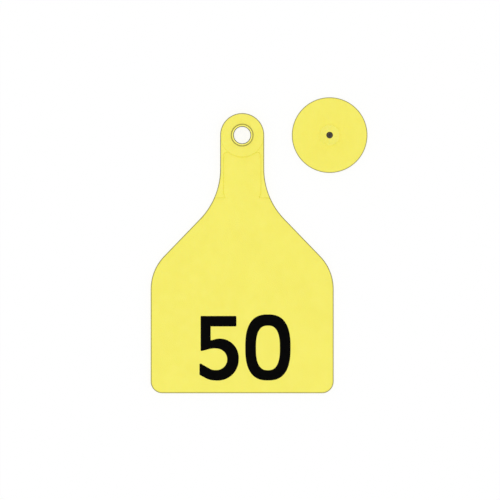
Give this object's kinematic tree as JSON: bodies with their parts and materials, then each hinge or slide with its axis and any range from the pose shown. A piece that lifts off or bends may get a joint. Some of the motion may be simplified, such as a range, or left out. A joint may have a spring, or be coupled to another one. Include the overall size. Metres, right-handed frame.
{
  "type": "livestock ear tag",
  "caption": "Two-piece ear tag: a flexible numbered panel with a hard locking ring at its neck, and a round button with a barbed, metal-tipped stud.",
  "frame": {"origin": "centre of the locking hole, at the back face of the panel, on which the tag lies", "axes": "+Z out of the print side of the panel and along the stud towards its tip; +Y from the body of the panel to its neck; +X from the panel to the button"},
  "size_m": [0.09, 0.123, 0.0222],
  "materials": {
    "panel": "flexible moulded polyurethane, yellow, fine satin grain",
    "locking_ring": "hard moulded plastic, yellow, slightly glossier than the panel",
    "button": "flexible moulded polyurethane, yellow, fine satin grain",
    "pin_tip": "dark turned metal, satin",
    "ink": "black marking ink, printed on the panel"
  },
  "bodies": {
    "root": {"panel": "panel", "locking_ring": "locking_ring", "button": "button", "pin_tip": "pin_tip"}
  },
  "joints": []
}
